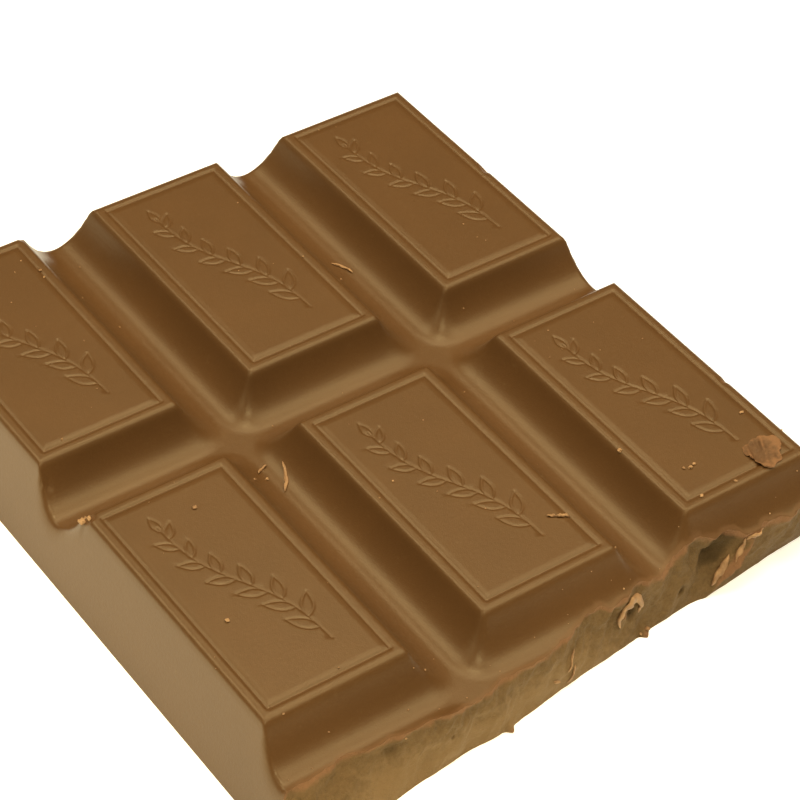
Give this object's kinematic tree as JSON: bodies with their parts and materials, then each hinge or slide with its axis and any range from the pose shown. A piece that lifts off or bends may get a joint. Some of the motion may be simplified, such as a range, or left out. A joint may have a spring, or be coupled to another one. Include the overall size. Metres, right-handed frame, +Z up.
{
  "type": "chocolate bar piece",
  "caption": "Snapped-off piece of a moulded milk chocolate bar: oblong segments with sunk border lines between rounded grooves, drafted moulded walls and a rough broken face.",
  "frame": {"origin": "centre of the bounding box's underside, on the surface that the piece lies on", "axes": "+Z up, +Y from the broken front to the moulded far end, +X along a row of segments"},
  "size_m": [0.0688, 0.0802, 0.0101],
  "materials": {
    "chocolate": "milk chocolate with a satin moulded skin and a rough, matt broken face"
  },
  "bodies": {
    "root": {"chocolate_bar": "chocolate"}
  },
  "joints": []
}
